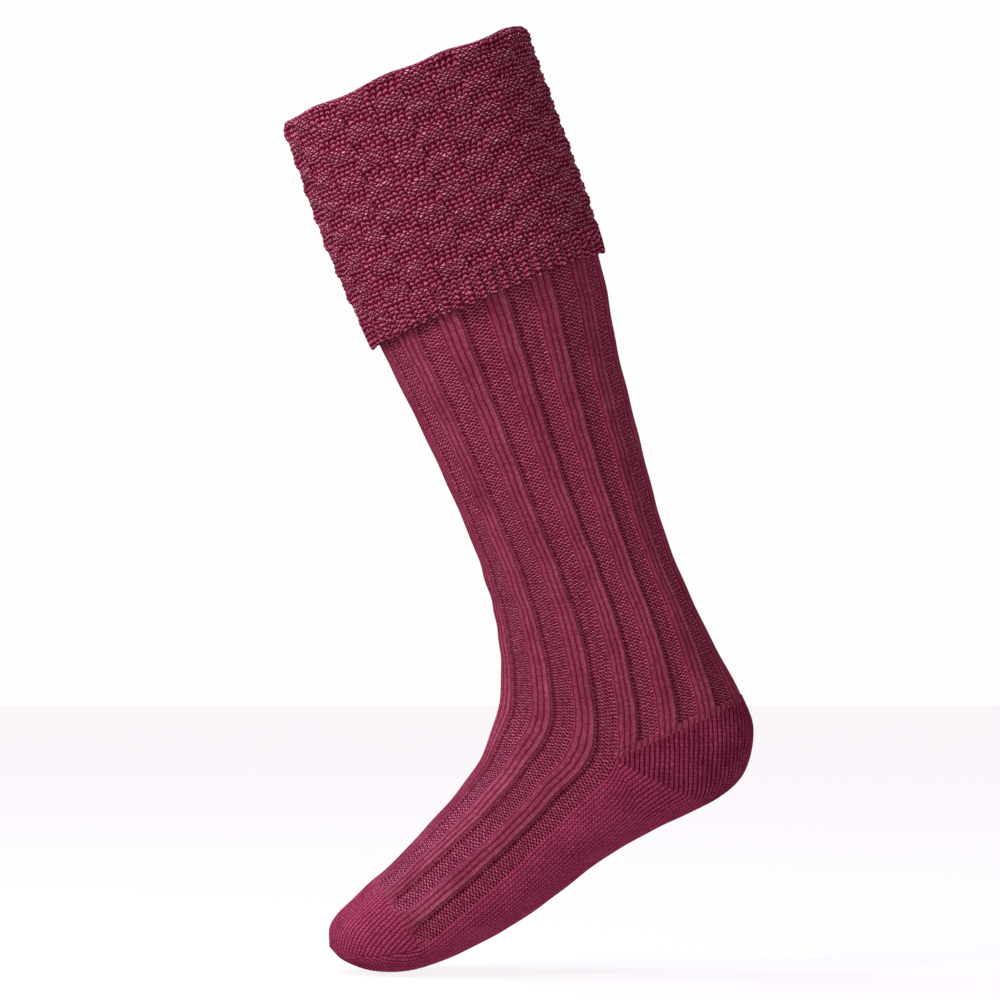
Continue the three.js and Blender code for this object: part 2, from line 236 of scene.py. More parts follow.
def on_sock(made, girth, offset):
    """Points in metres. Girth is 0 at the front, 1 at the back on the near side and -1 on the
    far side, and offset is how far a point stands out of the outline, in millimetres."""
    rows, columns = girth.shape
    points = np.zeros((rows, columns, 3))
    for row in range(rows):
        half = made["half"][row, 0]
        side = made["side"][row]
        share = np.abs(girth[row])
        for name, fullness in (("front", FRONT_FULLNESS), ("back", BACK_FULLNESS)):
            chosen = share <= SIDE_SHARE if name == "front" else share > SIDE_SHARE
            if not chosen.any():
                continue
            if name == "front":
                wanted = share[chosen] / SIDE_SHARE
            else:
                wanted = (1 - share[chosen]) / (1 - SIDE_SHARE)
            reach = made[name][row] - side
            depth = np.linalg.norm(reach)
            c, s = np.cos(QUARTER), np.sin(QUARTER)
            deep = depth * c * (1 + fullness * s * s)
            wide = half * s * (1 + fullness * c * c)
            length = np.concatenate(([0], np.cumsum(np.hypot(np.diff(deep), np.diff(wide)))))
            at = np.interp(wanted * length[-1], length, QUARTER)
            c, s = np.cos(at), np.sin(at)
            normal_deep = half * c * (1 + fullness * (c * c - 2 * s * s))
            normal_wide = depth * s * (1 + fullness * (s * s - 2 * c * c))
            size = np.maximum(np.hypot(normal_deep, normal_wide), 1e-9)
            out = offset[row][chosen]
            deep = depth * c * (1 + fullness * s * s) + out * normal_deep / size
            wide = half * s * (1 + fullness * c * c) + out * normal_wide / size
            unit = reach / max(depth, 1e-9)
            points[row, chosen, 0] = side[0] + unit[0] * deep
            points[row, chosen, 1] = -np.sign(girth[row][chosen]) * wide
            points[row, chosen, 2] = side[1] + unit[1] * deep
    return points * MM


def side_length(line):
    """Place along a chain and length down its side line, to turn one into the other."""
    places = np.linspace(0, line["last"], STEPS_A_SECTION * line["last"] + 1)
    side = sections(line, places)["side"]
    steps = np.hypot(*np.diff(side, axis=0).T)
    return places, np.concatenate(([0], np.cumsum(steps)))


leg_places, leg_downs = side_length(leg_chain)
LEG_END = leg_downs[-1]


def leg_station(down):
    return np.interp(down, leg_downs, leg_places)


def smooth_step(value, low, high):
    share = np.clip((value - low) / (high - low), 0, 1)
    return share * share * (3 - 2 * share)


COLUMN_EDGE = (0.28, 0.5)  # wales from a plain column's middle, where its groove lies
ROW_RELIEF = 0.15  # how much the rows show in a plain column
STITCH_LEAN = 1.1  # courses that a stitch leans in a wale
PURL_BOW = 0.09  # courses that a row of purl stitches bows in a wale
PURL_ROUND = 0.7  # power that rounds a bump, full below 1


def plain_stitch(wale, course):
    """Relief of plain stitches from -1 to 1, as columns parted by grooves."""
    across = np.abs(wale - np.floor(wale) - 0.5)
    column = 1 - smooth_step(across, *COLUMN_EDGE)
    row = np.cos(2 * math.pi * (course - STITCH_LEAN * across))
    return column * (2 - ROW_RELIEF + ROW_RELIEF * row) - 1


def purl_stitch(wale, course):
    """Relief of purl stitches from -1 to 1, as staggered rows of short bumps."""
    row = np.cos(2 * math.pi * (course + PURL_BOW * np.cos(2 * math.pi * wale)))
    heads = np.abs(np.cos(math.pi * (wale - 0.5))) ** PURL_ROUND
    feet = np.abs(np.cos(math.pi * wale)) ** PURL_ROUND
    return 2 * (heads * np.maximum(row, 0) + feet * np.maximum(-row, 0)) - 1


# Folds and unevenness, in metres. A pitch is the way along x, y or z for a radian of a wave.
FOLDS_AT = (0.0492, -0.272)  # x and z, at the front of the ankle
FOLDS_REACH = 0.026
FOLD_HEIGHT = 0.0003
FOLD_PITCH = (0.006, 0.0024)  # along x and z
UNEVEN = 0.0003  # height of the waves
WAVE_PITCH = (0.011, 0.0052)  # along x and z
SWAY_PITCH = (0.0083, 0.017, 0.023)
SIDE_UNEVEN = 0.012  # share of the width
SIDE_FOLD = 0.02  # share of the width
MERGE_WITHIN = 4e-6
SHARP_ANGLE = math.radians(55)


def worn(points):
    """The small unevenness of a worn sock, and the folds at the front of its ankle."""
    x, y, z = np.moveaxis(points, -1, 0)
    wave = np.sin(z / WAVE_PITCH[1] + x / WAVE_PITCH[0] + 1)
    wave = wave * np.sin(x / SWAY_PITCH[0] - z / SWAY_PITCH[2] + y / SWAY_PITCH[1])
    near_fold = np.exp(-((x - FOLDS_AT[0]) ** 2 + (z - FOLDS_AT[1]) ** 2) / FOLDS_REACH**2)
    fold = np.sin((z - FOLDS_AT[1]) / FOLD_PITCH[1] + (x - FOLDS_AT[0]) / FOLD_PITCH[0])
    fold = fold * near_fold
    moved = points.copy()
    moved[..., 0] -= UNEVEN * wave + FOLD_HEIGHT * fold
    moved[..., 1] *= 1 + (SIDE_UNEVEN * wave + SIDE_FOLD * fold)
    return moved


def knitted_panel(name, points, wale, course, plain, edge):
    """A flat knitted grid, laid on the sock's form and joined where its edges meet."""
    rows, columns = points.shape[0] - 1, points.shape[1] - 1
    bpy.ops.object.select_all(action="DESELECT")
    bpy.ops.mesh.primitive_grid_add(x_subdivisions=columns, y_subdivisions=rows, size=1)
    panel = bpy.context.object
    panel.name = name
    panel.data.name = name
    mesh = panel.data
    flat = np.zeros(len(mesh.vertices) * 3)
    mesh.vertices.foreach_get("co", flat)
    flat = flat.reshape(-1, 3)
    column = np.rint((flat[:, 0] + 0.5) * columns).astype(int)
    row = np.rint((flat[:, 1] + 0.5) * rows).astype(int)
    mesh.vertices.foreach_set("co", worn(points)[row, column].ravel())
    for label, values in (("plain", plain), ("edge", edge)):
        layer = mesh.attributes.new(label, "FLOAT", "POINT")
        layer.data.foreach_set("value", values[row, column].ravel())
    stitches = mesh.uv_layers[0]
    stitches.name = "stitches"
    corners = np.zeros(len(mesh.loops), dtype=np.int32)
    mesh.loops.foreach_get("vertex_index", corners)
    laid = np.stack((wale[row, column], course[row, column]), axis=1)
    stitches.data.foreach_set("uv", laid[corners].ravel())
    mesh.update()
    bpy.ops.object.mode_set(mode="EDIT")
    bpy.ops.mesh.select_all(action="SELECT")
    bpy.ops.mesh.remove_doubles(threshold=MERGE_WITHIN)
    bpy.ops.mesh.select_all(action="DESELECT")
    bpy.ops.mesh.select_non_manifold()
    bpy.ops.mesh.fill_holes(sides=0)
    bpy.ops.mesh.select_all(action="SELECT")
    bpy.ops.mesh.normals_make_consistent(inside=False)
    bpy.ops.object.mode_set(mode="OBJECT")
    bpy.ops.object.shade_smooth_by_angle(angle=SHARP_ANGLE)
    return panel


KNIT_SAMPLES = 4  # across a plain wale
PURL_SAMPLES = 3  # across a purl wale
SAMPLE_GAP = 0.1  # wales that an end keeps free of other samples


def wale_samples(low, high):
    """Wales at which the mesh of a ribbed piece has its columns."""
    samples = []
    for wale in range(math.floor(low), math.ceil(high)):
        in_rib = PURL_WALES / 2 <= wale % RIB_WALES < RIB_WALES - PURL_WALES / 2
        count = KNIT_SAMPLES if in_rib else PURL_SAMPLES
        samples.extend(wale + step / count for step in range(count))
    inside = [wale for wale in samples if low + SAMPLE_GAP < wale < high - SAMPLE_GAP]
    return np.array([low, *inside, high])


SOFT_FLANK = 0.2  # wales by which a rib's front flank is wider
CRISP_FLANK = 0.25  # wales by which its back flank is narrower
EDGE_LINE = 1.35  # wales from a rib's middle to the raised line
EDGE_GROOVE = 2.05  # and to the groove
LINE_WIDTH = 0.22
GROOVE_WIDTH = 0.2


def rib_shape(wale):
    """How far a wale stands out in a rib, from 0 in a channel to 1 on a rib's crown, and the
    line and the groove along its edge towards the back, which is crisp."""
    from_crown = np.mod(np.abs(wale), RIB_WALES) - RIB_WALES / 2
    foot, crown = RIB_FOOT * RIB_WALES, RIB_CROWN * RIB_WALES
    front = smooth_step(from_crown, -foot - SOFT_FLANK, -crown)
    back = 1 - smooth_step(from_crown, crown + CRISP_FLANK, foot)
    raised = np.exp(-(((from_crown - EDGE_LINE) / LINE_WIDTH) ** 2))
    groove = np.exp(-(((from_crown - EDGE_GROOVE) / GROOVE_WIDTH) ** 2))
    return np.minimum(front, back), raised - groove


EDGE_RELIEF = 0.45
RIB_RELIEF = 0.1
PLAIN_RELIEF = 0.2
PURL_RELIEF = 0.34
PLAIN_LEVEL = 0.6  # of the relief that lies on the sock's outline
PURL_LEVEL = 0.4
PLAIN_FLANK = (0.35, 0.65)  # shares of a rib's height at which purl passes to plain
HEEL_TURN = 4.2  # above the heel's gore, where the channels behind it end in plain knitting
TURN_BAND = 0.7


def ribbed_relief(wale, course, turned):
    """Offset and the two attributes of ribbed fabric, which passes to plain as turned does.
    Edge is 1 on the raised line of a rib's back edge and -1 in the groove beside it. The finish
    paints a highlight on that line and a shadow in the groove."""
    crown, edge = rib_shape(wale)
    crown = np.maximum(crown, turned)
    plain = smooth_step(crown, *PLAIN_FLANK)
    stitch = mix(
        PURL_RELIEF * (purl_stitch(wale, course) - PURL_LEVEL),
        RIB_RELIEF * (plain_stitch(wale, course) - PLAIN_LEVEL),
        plain,
    )
    edge = edge * (1 - turned)
    return -RIB_HEIGHT * (1 - crown) + stitch + EDGE_RELIEF * edge, plain, edge


HIDDEN_ROWS = 8
LINING_ROWS = 22
CUFF_OVERLAP = 5  # height of finely modelled leg inside the cuff's hem
leg_wales = wale_samples(-HALF_WALES, HALF_WALES)
shown_from = CUFF_DEPTH - CUFF_OVERLAP
shown_rows = round((LEG_END - shown_from) / COURSE * ROWS_A_COURSE)
outer_downs = np.concatenate((
    np.linspace(FOLD_DEPTH + CLEARANCE, shown_from, HIDDEN_ROWS, endpoint=False),
    np.linspace(shown_from, LEG_END, shown_rows + 1),
))
inner_downs = np.linspace(LEG_END, FOLD_DEPTH + CLEARANCE, LINING_ROWS)
wale = np.tile(leg_wales, (len(outer_downs), 1))
course = np.tile((outer_downs / COURSE)[:, None], (1, len(leg_wales)))
turned_at = LEG_END - HEEL_TURN
turned = smooth_step(course * COURSE, turned_at - TURN_BAND, turned_at)
turned = np.where(np.abs(wale) > SIDE_WALE, turned, 0)
offset, plain, edge = ribbed_relief(wale, course, turned)
outer = on_sock(sections(leg_chain, leg_station(outer_downs)), wale / HALF_WALES, offset)
inner_wale = np.tile(leg_wales, (len(inner_downs), 1))
inner_course = np.tile((inner_downs / COURSE)[:, None], (1, len(leg_wales)))
inner = on_sock(
    sections(leg_chain, leg_station(inner_downs)),
    inner_wale / HALF_WALES,
    np.full(inner_wale.shape, INNER),
)


def closed_tube(outer, inner):
    """Grid of a tube whose rows go down its outside, up its inside and back to the start."""
    return np.concatenate((outer, inner, outer[:1]))


leg = knitted_panel(
    "leg_ribs",
    closed_tube(outer, inner),
    closed_tube(wale, inner_wale),
    closed_tube(course, inner_course),
    closed_tube(plain, np.zeros(inner_wale.shape)),
    closed_tube(edge, np.zeros(inner_wale.shape)),
)


class Signal:
    """A number in a finish's node tree that takes part in sums."""

    def __init__(self, finish, socket):
        self.finish = finish
        self.socket = socket

    def math(self, operation, *others, clamp=False):
        sockets = dict(enumerate((self, *others)))
        settings = {"operation": operation, "use_clamp": clamp}
        return self.finish.add("ShaderNodeMath", settings, sockets)

    def __add__(self, other):
        return self.math("ADD", other)

    def __sub__(self, other):
        return self.math("SUBTRACT", other)

    def __rsub__(self, other):
        return (self * -1) + other

    def __mul__(self, other):
        return self.math("MULTIPLY", other)

    __radd__ = __add__
    __rmul__ = __mul__


class Finish:
    """A material's node tree, to which one method adds every node."""

    def __init__(self, name):
        self.material = bpy.data.materials.new(name)
        self.material.use_nodes = True
        self.nodes = self.material.node_tree.nodes
        self.links = self.material.node_tree.links
        self.nodes.clear()

    def add(self, kind, settings, sockets, output=0):
        node = self.nodes.new(kind)
        for name, value in settings.items():
            setattr(node, name, value)
        for name, value in sockets.items():
            if isinstance(value, Signal):
                self.links.new(value.socket, node.inputs[name])
            else:
                node.inputs[name].default_value = value
        if not node.outputs:
            return None
        return Signal(self, node.outputs[output])

    def colour_mix(self, share, low, high):
        return self.add("ShaderNodeMix", {"data_type": "RGBA"}, {0: share, 6: low, 7: high}, 2)

    def between(self, value, low, high):
        sockets = {"Value": value, "From Min": low, "From Max": high}
        return self.add("ShaderNodeMapRange", {"interpolation_type": "SMOOTHSTEP"}, sockets)


YARN_LEAN = 0.8  # courses that a stitch's shading leans in a wale
LOOP_ROUND = 1.2  # the same power in the shading
PLAIN_HEIGHT = 0.68  # of plain columns against the heads of purl stitches
DEEP_TO_BODY = (0.0, 0.48)  # heights between which the deep tone, painted shade in the hollows between stitches, passes to the body's
# heights between which the body's tone passes to the lit tone, a painted highlight on the stitches'
# tops
BODY_TO_LIT = (0.42, 0.84)
EVEN_PLAIN = 0.65  # how much calmer the yarn's sparks, which vary the painted highlight and shade at random from stitch to stitch, are on plain fabric
EDGE_LIGHT = 0.3
EDGE_SHADE = 0.7


def wool_finish(name, yarn, stitch_depth, groove, rows, loops, plain_shade, uneven):
    """Matte wool: stitches, uneven yarn, a little heather and fine fibres, with shade and
    highlights painted into its colour. Yarn holds the deep tone, which is painted shade in the
    hollows between stitches, the body tone, and the lit tone, which is a painted highlight on the
    stitches' tops.
    Groove and rows are how much plain columns show the groove between them and their rows, and
    loops is how much the lower loops of purl stitches show. Plain shade is how much darker plain
    fabric is painted than purl, painted shade that also makes the heel darker than the sole and the
    ribs darker than their channels, and uneven is how far the stitches stray, in wales."""
    finish = Finish(name)
    turn = 2 * math.pi
    stitches = finish.add("ShaderNodeUVMap", {"uv_map": "stitches"}, {})
    wale = finish.add("ShaderNodeSeparateXYZ", {}, {"Vector": stitches}, 0)
    course = finish.add("ShaderNodeSeparateXYZ", {}, {"Vector": stitches}, 1)
    place = finish.add("ShaderNodeTexCoord", {}, {}, 3)
    plain = finish.add("ShaderNodeAttribute", {"attribute_name": "plain"}, {}, 2)
    edge = finish.add("ShaderNodeAttribute", {"attribute_name": "edge"}, {}, 2)

    def noise(vector, scale, detail):
        sockets = {"Vector": vector, "Scale": scale, "Detail": detail}
        return finish.add("ShaderNodeTexNoise", {}, sockets)

    wale = wale + (noise(place, scale=230, detail=2) - 0.5) * uneven
    course = course + (noise(place, scale=170, detail=2) - 0.5) * (uneven * 1.3)
    across = (wale.math("FRACT") - 0.5).math("ABSOLUTE")
    column = 1 - finish.between(across, *COLUMN_EDGE) * groove
    lean = ((course - across * YARN_LEAN) * turn).math("COSINE")
    plain_height = column * (lean * rows + (1 - rows)) * PLAIN_HEIGHT
    bowed = course + (wale * turn).math("COSINE") * PURL_BOW
    row = (bowed * turn).math("COSINE")
    heads = ((wale - 0.5) * math.pi).math("COSINE").math("ABSOLUTE").math("POWER", LOOP_ROUND)
    feet = (wale * math.pi).math("COSINE").math("ABSOLUTE").math("POWER", LOOP_ROUND)
    lower = feet * (row * -1).math("MAXIMUM", 0.0) * loops
    purl_height = heads * row.math("MAXIMUM", 0.0) + lower
    height = purl_height + (plain_height - purl_height) * plain
    fibre = noise(place, scale=1500, detail=3)
    clump = noise(place, scale=620, detail=2)
    heather = noise(place, scale=60, detail=3)
    spark = finish.between(noise(stitches, scale=1.1, detail=2), 0.3, 0.72)
    spark = spark + (0.5 - spark) * plain * EVEN_PLAIN
    deep, body, lit = yarn
    # Painted shade and highlight: the deep tone darkens the hollows between stitches, the lit tone
    # lightens their tops
    tone = finish.colour_mix(finish.between(height, *DEEP_TO_BODY), deep, body)
    # Painted highlight on a rib's raised back line, and painted shadow in the groove beside it
    raised = edge.math("MAXIMUM", 0.0) * EDGE_LIGHT
    bright = finish.between(height, *BODY_TO_LIT) * (spark * 0.8 + 0.2)
    tone = finish.colour_mix((bright + raised).math("MAXIMUM", 0.0, clamp=True), tone, lit)
    patchy = (heather - 0.5) * 0.5 + (0.5 - spark) * 0.25 + (clump - 0.5) * uneven
    groove_shade = (edge * -1).math("MAXIMUM", 0.0) * EDGE_SHADE
    # Painted shade on plain fabric, most on the heel, and in the groove beside each rib, with
    # random patches and fibres
    shade = plain * plain_shade + groove_shade + patchy + (fibre - 0.5) * 0.5
    tone = finish.colour_mix(shade.math("MAXIMUM", 0.0, clamp=True), tone, deep)
    surface = height + fibre * 0.3 + clump * uneven
    bump = finish.add("ShaderNodeBump", {}, {
        "Strength": 1.0, "Distance": stitch_depth, "Height": surface,
    })
    shader = finish.add("ShaderNodeBsdfPrincipled", {}, {
        "Base Color": tone,
        "Roughness": fibre * 0.1 + 0.82,
        "Normal": bump,
        "Specular IOR Level": 0.0,
    })
    finish.add("ShaderNodeOutputMaterial", {}, {"Surface": shader})
    return finish.material


def dress(piece, material, slot, *nodes):
    """Gives a finished piece its material and lets it stand for its solids."""
    piece.data.materials.clear()
    piece.data.materials.append(material)
    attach(piece, "root")
    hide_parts(*nodes)


# Deep, body and lit tone: the deep one is painted shade in the hollows, the lit one a painted
# highlight on the stitches' tops
RIB_YARN = ((0.06, 0.001, 0.01, 1), (0.22, 0.021, 0.06, 1), (0.5, 0.15, 0.2, 1))
rib_wool = wool_finish(
    "rib_wool", RIB_YARN, stitch_depth=0.0008, groove=0.6, rows=0.05, loops=1.0,
    plain_shade=0.6, uneven=0.36,
)
dress(leg, rib_wool, "rib_wool", "leg")


# Turnover cuff: a thick basket knit of 120 wales, folded outwards over the leg. Single plain
# wales part wide and narrow columns of blocks, and a ribbed border ends it in a wavy hem.
CUFF_WALL = 3.4
CUFF_WALES = 120
CUFF_COURSE = 2.55
CUFF_ROWS_A_COURSE = 3  # of the mesh
ROLL_STEPS = 12  # over the fold
INNER_ROWS = 4  # inside, from the leg's top edge up to the fold
CUFF_LINING_ROWS = 12
BASKET_WALES = 10
BASKET_COURSES = 6
BASKET_RELIEF = 2.0
BASKET_START = 2  # wales from the middle of the front
SINGLE_WALE = (0.3, 0.8)  # wales from its middle at which its flank starts and ends
WIDE_COLUMN = ((0.9, 1.2), (5.8, 6.2))  # wales of a repeat at which its two flanks lie
BLOCK_EDGE = 0.15  # softness of a block's upper and lower edges
SINGLE_HEIGHT = 0.6  # share of the relief
BORDER_RIB = 1.3
BORDER_LIFT = 0.2
BORDER_FLANK = (0.4, 0.6)
SEAM_WALES = 3  # beside the middle of the back, where the columns keep still
HEM_SCALLOP = 0.9
WANDER = 0.22  # wales by which the columns sway from block to block
# How the fold and the hem wave round the cuff: height, length in wales and start
DRIFTS = ((0.6, 24, 0), (0.7, 12, 1))
FOLD_WAVE = 0.8  # of the fold against the hem
FOLD_WAVE_DEPTH = 12
HEM_BORDER = 13
HEM_ROUND = 1.2
CUFF_SAMPLES = 4  # across a wale
CUFF_STITCH = 0.35

cuff_wales = np.linspace(-CUFF_WALES / 2, CUFF_WALES / 2, CUFF_WALES * CUFF_SAMPLES + 1)
outer_offset = CLEARANCE + CUFF_WALL
fold_radius = (outer_offset - INNER) / 2
roll = np.linspace(math.pi, 0, ROLL_STEPS)
face_rows = round((CUFF_DEPTH - HEM_ROUND - fold_radius) / CUFF_COURSE * CUFF_ROWS_A_COURSE)
face_downs = np.linspace(fold_radius, CUFF_DEPTH - HEM_ROUND, face_rows + 1)[1:]
# The profile's points hold the distance down, the offset, and 1 where the pattern shows
inner_downs = np.linspace(FOLD_DEPTH, fold_radius, INNER_ROWS, endpoint=False)
profile = [(down, INNER, 0) for down in inner_downs]
for angle in roll:
    fold_down = fold_radius * (1 - math.sin(angle))
    fold_out = outer_offset - fold_radius + fold_radius * math.cos(angle)
    profile.append((fold_down, fold_out, 1))
profile += [(down, outer_offset, 1) for down in face_downs]
profile += [
    (CUFF_DEPTH - HEM_ROUND * 0.3, outer_offset - HEM_ROUND * 0.3, 1),
    (CUFF_DEPTH, outer_offset - HEM_ROUND, 1),
    (CUFF_DEPTH, CLEARANCE + HEM_ROUND, 0),
]
back_downs = np.linspace(CUFF_DEPTH - HEM_ROUND, FOLD_DEPTH, CUFF_LINING_ROWS)
profile += [(down, CLEARANCE, 0) for down in back_downs]
profile = np.array(profile)
steps = np.hypot(np.diff(profile[:, 0]), np.diff(profile[:, 1]))
path = np.concatenate(([0], np.cumsum(steps)))
wale = np.tile(cuff_wales, (len(profile), 1))
down = np.tile(profile[:, :1], (1, len(cuff_wales)))
shown = np.tile(profile[:, 2:], (1, len(cuff_wales)))
course = np.tile(((path - path[-1]) / CUFF_COURSE)[:, None], (1, len(cuff_wales)))

in_basket = np.mod(wale - BASKET_START, BASKET_WALES)
single = 1 - smooth_step(np.abs(in_basket - 0.5), *SINGLE_WALE)
wide = smooth_step(in_basket, *WIDE_COLUMN[0]) * (1 - smooth_step(in_basket, *WIDE_COLUMN[1]))
tier = (CUFF_DEPTH - HEM_BORDER - down) / CUFF_COURSE / BASKET_COURSES
wave = np.cos(2 * math.pi * tier)
wave = np.where(wide > 0.5, wave, -wave)
border = smooth_step(down, CUFF_DEPTH - HEM_BORDER - 1, CUFF_DEPTH - HEM_BORDER + 1)
block_plain = smooth_step(wave, -BLOCK_EDGE, BLOCK_EDGE)
basket_plain = np.maximum(single, block_plain)
border_rib = 0.5 + 0.5 * np.cos(math.pi * (wale - 0.5))
plain = mix(basket_plain, smooth_step(border_rib, *BORDER_FLANK), border)
bulge = mix(0.5 - 0.5 * wave, SINGLE_HEIGHT, single) * BASKET_RELIEF
relief = mix(bulge, border_rib * BORDER_RIB + BORDER_LIFT, border) - BASKET_RELIEF / 2
stitch = mix(purl_stitch(wale, course), plain_stitch(wale, course), plain) * CUFF_STITCH
offset = np.tile(profile[:, 1:2], (1, len(cuff_wales))) + shown * (relief + stitch)
near_hem = smooth_step(down, CUFF_DEPTH - HEM_BORDER, CUFF_DEPTH) * shown
near_fold = 1 - smooth_step(down, 0, FOLD_WAVE_DEPTH)
scallop = near_hem * np.cos(math.pi * (wale - 0.5)) * HEM_SCALLOP
drift = sum(
    height * np.sin(2 * math.pi * wale / length + start) for height, length, start in DRIFTS
)
down = down + scallop + drift * (near_hem - near_fold * FOLD_WAVE)
edge = np.zeros(wale.shape)

made = sections(leg_chain, leg_station(np.maximum(down, 0)).ravel())
ends = 1 - smooth_step(np.abs(wale), CUFF_WALES / 2 - SEAM_WALES, CUFF_WALES / 2)
wander = WANDER * np.sin(2 * math.pi * tier) * shown * (1 - border) * ends
girth = (wale + wander) / (CUFF_WALES / 2)
flat = on_sock(made, girth.reshape(-1, 1), offset.reshape(-1, 1))
points = flat.reshape(*wale.shape, 3)
rise = np.minimum(down, 0)
points[..., 0] += rise * math.sin(LEG_LEAN) * MM
points[..., 2] -= rise * math.cos(LEG_LEAN) * MM


def closed_loop(grid):
    """Grid of a tube whose last row meets its first."""
    return np.concatenate((grid, grid[:1]))


cuff = knitted_panel(
    "basket_cuff",
    closed_loop(points),
    closed_loop(wale),
    np.concatenate((course, course[:1] * 0)),
    closed_loop(plain),
    closed_loop(edge),
)
# Deep, body and lit tone: the deep one is painted shade in the hollows, the lit one a painted
# highlight on the stitches' tops
CUFF_YARN = ((0.07, 0.0015, 0.01, 1), (0.21, 0.026, 0.06, 1), (0.6, 0.24, 0.31, 1))
cuff_wool = wool_finish(
    "cuff_wool", CUFF_YARN, stitch_depth=0.0012, groove=0.8, rows=0.5, loops=0.9,
    plain_shade=0.05, uneven=1.1,
)
dress(cuff, cuff_wool, "cuff_wool", "turnover_cuff")


# Instep: the ribbed top of the foot. The front ribs of the leg carry on over it to the toe,
# and a purl channel edges it along the sole.
TOE_START = 5  # row of the foot's sections at which the toe begins
foot_places, foot_alongs = side_length(foot_chain)
TOE_LENGTH = np.interp(TOE_START, foot_places, foot_alongs)


def foot_station(along):
    return np.interp(along, foot_alongs, foot_places)


def patch_grid(line, places, girths, offsets, wall, lining):
    """Grid of a patch with a wall: columns go over its outside and back along its inside."""
    back = np.linspace(girths[0, -1], girths[0, 0], lining)
    inner = np.tile(back, (len(places), 1))
    turned = np.concatenate((girths, inner, girths[:, :1]), axis=1)
    depth = np.concatenate((offsets, np.full(inner.shape, wall), offsets[:, :1]), axis=1)
    turned = np.where(np.abs(turned) > 1, turned - 2 * np.sign(turned), turned)
    return on_sock(sections(line, places), turned, depth)


def with_lining(grid, lining, value=None):
    """The same columns for a value of the fabric as patch_grid gives its points."""
    share = np.linspace(1, 0, lining)
    back = mix(grid[:, :1], grid[:, -1:], share[None, :])
    if value is not None:
        back = np.full(back.shape, value)
    return np.concatenate((grid, back, grid[:, :1]), axis=1)


LINING_COLUMNS = 24


def lined_panel(name, points, wale, course, plain, edge):
    """A knitted panel of a patch whose inside is plain lining."""
    return knitted_panel(
        name,
        points,
        with_lining(wale, LINING_COLUMNS),
        with_lining(course, LINING_COLUMNS),
        with_lining(plain, LINING_COLUMNS, 0),
        with_lining(edge, LINING_COLUMNS, 0),
    )


RIB_FADE = 4  # length over which the ribs flatten before the toe
CHANNEL_TAPER = 3  # for each wale from a channel's middle, how much earlier it ends
instep_wales = wale_samples(-SIDE_WALE, SIDE_WALE)
instep_rows = round(TOE_LENGTH / COURSE * ROWS_A_COURSE)
alongs = np.linspace(0, TOE_LENGTH, instep_rows + 1)
wale = np.tile(instep_wales, (len(alongs), 1))
course = np.tile(((LEG_END + alongs) / COURSE)[:, None], (1, len(instep_wales)))
from_channel = np.abs(np.mod(wale + RIB_WALES / 2, RIB_WALES) - RIB_WALES / 2)
reached = alongs[:, None] + CHANNEL_TAPER * from_channel
fading = smooth_step(reached, TOE_LENGTH - RIB_FADE, TOE_LENGTH + CHANNEL_TAPER)
offset, plain, edge = ribbed_relief(wale, course, fading)
points = patch_grid(
    foot_chain, foot_station(alongs), wale / HALF_WALES, offset, INNER, LINING_COLUMNS
)
instep = lined_panel("instep_ribs", points, wale, course, plain, edge)
dress(instep, rib_wool, "rib_wool", "instep")


# Heel: plain knitting, turned by short rows. Its wales come down from the leg and turn
# forwards along the sole at a slanting line from the gore.
FOOT_WALL = 2.4
PLAIN_WALE = 2.6  # width of a wale
HEEL_COLUMNS = 300
HEEL_STEPS = 110
MITRE = math.radians(-27)  # slant of the line at which the wales turn, seen from the gore
MITRE_SOFT = 0.02  # radians
UNDER_HEEL_PLAIN = 0.7  # how much columns show against rows below that line, and how much painted shade darkens them


def half_girth(made):
    """Length in millimetres from each section's side to its back."""
    c, s = np.cos(QUARTER), np.sin(QUARTER)
    depth = np.linalg.norm(made["back"] - made["side"], axis=1)[:, None]
    deep = depth * c * (1 + BACK_FULLNESS * s**2)
    wide = made["half"] * s * (1 + BACK_FULLNESS * c**2)
    return np.hypot(np.diff(deep, axis=1), np.diff(wide, axis=1)).sum(axis=1)


places = np.linspace(0, heel_chain["last"], HEEL_STEPS + 1)
made = sections(heel_chain, places)
girths = np.linspace(SIDE_SHARE, 2 - SIDE_SHARE, HEEL_COLUMNS + 1)
girths = np.tile(girths, (len(places), 1))
from_side = (1 - np.abs(girths - 1)) - SIDE_SHARE
reach = from_side / (1 - SIDE_SHARE) * half_girth(made)[:, None]
towards = made["back"] - made["side"]
slant = np.arctan2(towards[:, 1], towards[:, 0])[:, None]
upper = smooth_step(slant, MITRE - MITRE_SOFT, MITRE + MITRE_SOFT)
upper_wale = reach * np.cos(slant)
upper_course = reach * -np.sin(slant)
lower_wale = reach * np.cos(slant - 2 * MITRE)
lower_course = reach * np.sin(slant - 2 * MITRE)
wale = mix(lower_wale, upper_wale, upper) / PLAIN_WALE
course = mix(lower_course, upper_course, upper) / COURSE
plain = np.ones(wale.shape) * mix(UNDER_HEEL_PLAIN, 1, upper)
offset = PLAIN_RELIEF * (plain_stitch(wale, course) - PLAIN_LEVEL)
edge = np.zeros(wale.shape)
points = patch_grid(heel_chain, places, girths, offset, -FOOT_WALL, LINING_COLUMNS)
heel = lined_panel("heel_cup", points, wale, course, plain, edge)
